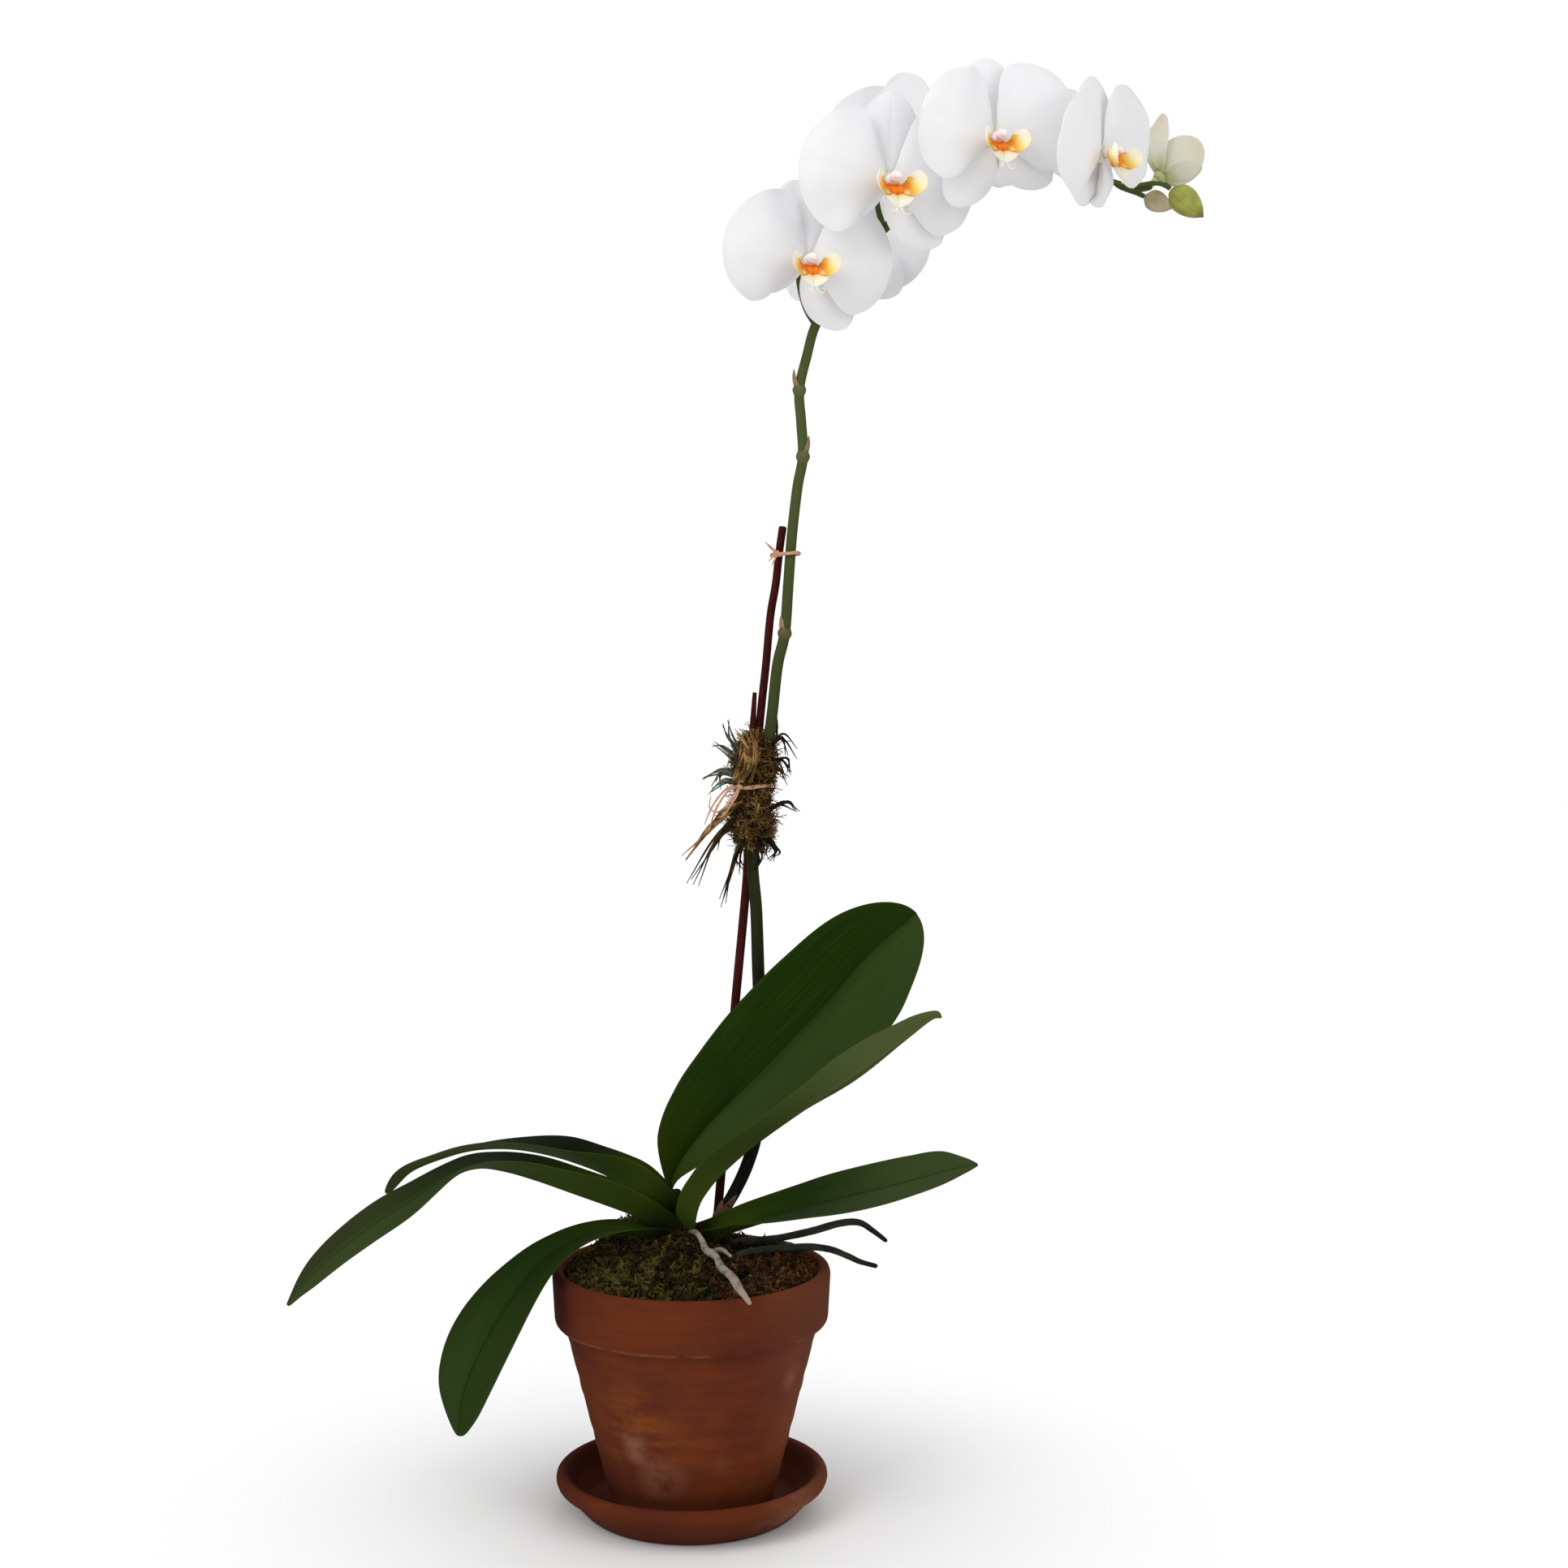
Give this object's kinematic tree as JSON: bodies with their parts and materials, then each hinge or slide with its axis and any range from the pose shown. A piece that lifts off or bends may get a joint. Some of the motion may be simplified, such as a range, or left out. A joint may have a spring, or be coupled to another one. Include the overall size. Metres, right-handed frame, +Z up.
{
  "type": "potted moth orchid",
  "caption": "White moth orchid with an arching flower spike, strap leaves and aerial roots in a mossed clay pot standing on its saucer.",
  "frame": {"origin": "centre of the saucer's flat underside, on the surface that the pot stands on", "axes": "+Z up, -Y towards the viewer of the picture, +X to the viewer's right"},
  "size_m": [0.5014, 0.1624, 0.8032],
  "materials": {
    "clay": "matte",
    "bark_mix": "matte",
    "green_moss": "matte",
    "crown_green": "satin",
    "leaf_green": "satin",
    "root_silver": "matte",
    "root_green": "matte",
    "stem_green": "satin",
    "stake_red": "satin",
    "dry_moss": "matte",
    "raffia": "matte",
    "petal_white": "satin",
    "lip_yellow": "satin",
    "opening_petal": "satin",
    "bud_green": "satin",
    "bud_pale": "satin"
  },
  "bodies": {
    "root": {"saucer": "clay", "pot": "clay", "potting_mix": "bark_mix", "moss_cover": "green_moss", "crown": "crown_green", "leaf_upright": "leaf_green", "leaf_narrow": "leaf_green", "leaf_left_upper": "leaf_green", "leaf_left_long": "leaf_green", "leaf_left_low": "leaf_green", "leaf_right": "leaf_green", "root_front": "root_silver", "root_front_short": "root_silver", "root_right_upper": "root_green", "root_right_lower": "root_green", "flower_spike": "stem_green", "stake": "stake_red", "stake_short": "stake_red", "moss_bundle": "dry_moss", "tie_bundle": "raffia", "tie_top": "raffia", "bloom_1": "petal_white", "bloom_2": "petal_white", "bloom_3": "petal_white", "bloom_4": "petal_white", "bloom_5": "petal_white", "bloom_6": "petal_white", "bloom_7": "petal_white", "lip_1": "lip_yellow", "lip_2": "lip_yellow", "lip_3": "lip_yellow", "lip_4": "lip_yellow", "lip_5": "lip_yellow", "lip_6": "lip_yellow", "lip_7": "lip_yellow", "bloom_opening": "opening_petal", "bud_green": "bud_green", "bud_pale": "bud_pale"}
  },
  "joints": []
}
